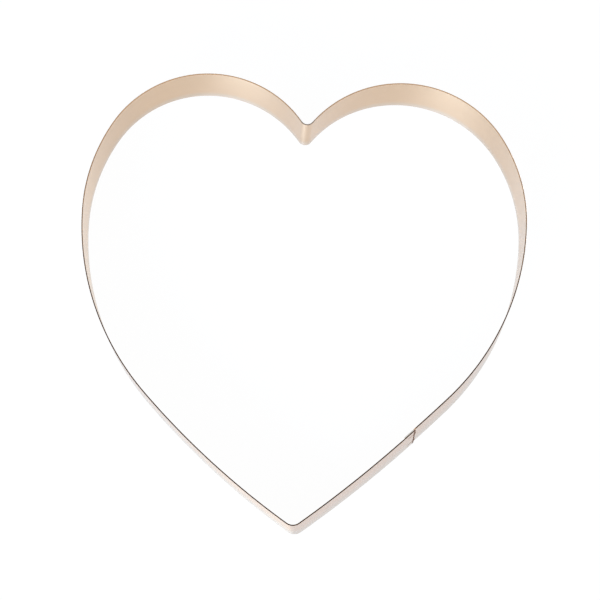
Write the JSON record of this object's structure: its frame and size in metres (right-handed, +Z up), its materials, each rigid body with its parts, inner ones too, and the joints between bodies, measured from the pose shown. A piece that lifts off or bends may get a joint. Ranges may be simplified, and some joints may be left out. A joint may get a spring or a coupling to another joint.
{
  "type": "cookie cutter",
  "caption": "Heart-shaped cookie cutter bent from a thin strip of copper-coloured plated steel, its lapped ends spot welded on the lower right side.",
  "frame": {"origin": "middle of the heart's outline, level with the lower rim", "axes": "+Z up along the strip's height, +Y from the heart's point towards its lobes, +X to the right seen from above"},
  "size_m": [0.1524, 0.1564, 0.0222],
  "materials": {
    "copper_plated_steel": "satin copper plating",
    "weld_metal": "heat-tinted copper plating"
  },
  "bodies": {
    "root": {"band": "copper_plated_steel", "lower_spot_weld": "weld_metal", "upper_spot_weld": "weld_metal"}
  },
  "joints": []
}
